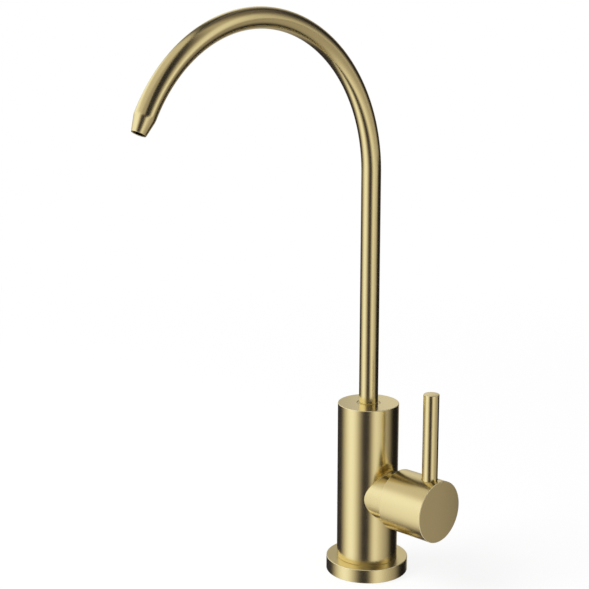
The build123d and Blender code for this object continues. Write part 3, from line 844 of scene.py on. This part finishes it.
cut(handle_hub,
    drill_bit("seat_bit", rod_radius + seat_play, rod_seat, rod_high.z, at_the_rod),
    drill_bit("stud_bit", stud_radius + hair_gap, rod_low.z - bit_overrun, rod_high.z, at_the_rod),
    drill_bit("screw_bit", screw_radius + hair_gap, 0, handle_height, at_the_screw))
smooth_over(handle_hub)
hand_over(handle_hub, "handle", "gold_steel", "handle_hub")

# %% [markdown]
# ## The lever
#
# A straight rod with a fine edge break at its top and a stud below that screws into the hub. Because it
# is so slender, its bands are narrow, and 96 sides would already do. The tree's own default is kept, as
# a rod costs little.

# %% The lever
lever_rod = turned("lever_rod_dressed", [
    (0, rod_high.z),
    (rod_radius, rod_high.z, soft_edge),
    (rod_radius, rod_seat, rim_edge),
    (stud_radius, rod_seat),
    (stud_radius, rod_low.z),
    (0, rod_low.z),
], turned_gold, at_the_rod)
smooth_over(lever_rod)
hand_over(lever_rod, "handle", "gold_steel", "lever_rod")

# %% [markdown]
# ## The spout
#
# One drawn tube makes the whole spout. It rises straight from its seat in the body, takes one long even
# bend, and is drawn down to a cone at the tip, where the wall shows as a thin bright rim round a dark
# bore. The outline is a long thin loop: up the outside, round the rim and back down the bore. Rings are
# only needed where the tube bends, so a loop spaces them there and nowhere else.

# %% The spout
tube_low, tube_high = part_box("spout_tube")
tube_radius = tube_high.x
tube_wall = 1.0 * mm
tube_bore = tube_radius - tube_wall
tube_sides = 96
bend_radius = 77.5 * mm
bend_angle = math.radians(152)
bend_start = tube_high.z - bend_radius - tube_radius
bend_end = bend_start + bend_radius * bend_angle
bend_rings = 140
tip_length = 7.5 * mm
tip_end = bend_end + tip_length
tip_rounding = 9.0 * mm
outlet_radius = 3.4 * mm
tip_wall = 0.6 * mm

ring_places = [bend_start + (bend_end - bend_start) * i / bend_rings for i in range(bend_rings)]
spout_tube = turned("spout_tube_dressed", [
    *[(tube_radius, place) for place in [tube_low.z, *ring_places]],
    (tube_radius, bend_end, tip_rounding),
    # The rim's fine edges get the painted edge highlight.
    (outlet_radius, tip_end, rim_edge),
    (outlet_radius - tip_wall, tip_end, rim_edge),
    *[(tube_bore, place) for place in [bend_end, *reversed(ring_places), tube_low.z]],
    (tube_radius, tube_low.z),
], drawn_gold, sides=tube_sides, bend_start=bend_start, bend_radius=bend_radius, bend_angle=bend_angle)
smooth_over(spout_tube)
hand_over(spout_tube, "spout", "gold_steel", "spout_tube")

# %% [markdown]
# ## The pieces inside
#
# Eighteen more nodes make the tap work. Of these only the top edge of the spout's stem shows, as a thin
# ring in the body's top. Their shapes are right as they come from the frame, so they only get their
# finishes: gold coated steel, turned brass, black rubber, white ceramic, pale plastic and bright steel.

# %% A plain finish
grain_scale = 900.0
grain_detail = 3.0
grain_depth = 0.01 * mm
grain_strength = 0.4
patch_scale = 90.0
patch_detail = 2.0
roughness_spread = 0.06


def plain_finish(name, dark, light, roughness, metallic=0.0):
    """A material whose tone and roughness wander a little, with a fine grain."""
    material, tree = blank_material(name)
    place = put(tree, "ShaderNodeTexCoord").outputs["Object"]
    grains = put(tree, "ShaderNodeTexNoise", {"Vector": place, "Scale": grain_scale,
                                              "Detail": grain_detail}).outputs["Fac"]
    patches = put(tree, "ShaderNodeTexNoise", {"Vector": place, "Scale": patch_scale,
                                               "Detail": patch_detail}).outputs["Fac"]
    colour = put(tree, "ShaderNodeMix", {"Factor": patches, "A": (*dark, 1), "B": (*light, 1)},
                 data_type="RGBA")
    rough = put(tree, "ShaderNodeMapRange", {"Value": grains, "To Min": roughness - roughness_spread,
                                             "To Max": roughness + roughness_spread}).outputs["Result"]
    bump = put(tree, "ShaderNodeBump", {"Strength": grain_strength, "Distance": grain_depth,
                                        "Height": grains})
    shader = put(tree, "ShaderNodeBsdfPrincipled", {"Base Color": colour.outputs["Result"],
                                                    "Metallic": metallic, "Roughness": rough,
                                                    "Normal": bump.outputs[0]})
    put(tree, "ShaderNodeOutputMaterial", {"Surface": shader.outputs[0]})
    return material


# %% Finishes of the pieces inside
finishes = {
    "gold_steel": plain_finish("gold_inside", dark=(0.745, 0.615, 0.325), light=(0.845, 0.735, 0.415),
                               roughness=0.26, metallic=1.0),
    "valve_brass": plain_finish("turned_brass", dark=(0.70, 0.52, 0.24), light=(0.80, 0.62, 0.32),
                                roughness=0.30, metallic=1.0),
    "seal_rubber": plain_finish("black_rubber", dark=(0.012, 0.012, 0.013), light=(0.022, 0.022, 0.023),
                                roughness=0.55),
    "disc_ceramic": plain_finish("white_ceramic", dark=(0.78, 0.77, 0.74), light=(0.86, 0.85, 0.82),
                                 roughness=0.18),
    "bearing_plastic": plain_finish("pale_plastic", dark=(0.70, 0.69, 0.64), light=(0.78, 0.77, 0.73),
                                    roughness=0.42),
    "screw_steel": plain_finish("bright_steel", dark=(0.52, 0.51, 0.49), light=(0.62, 0.61, 0.59),
                                roughness=0.28, metallic=1.0),
}
for piece in frame["record"]["subparts"]:
    slots = frame["nodes"][piece["node"]].data.materials
    slots.clear()
    slots.append(finishes[piece["material_slot"]])
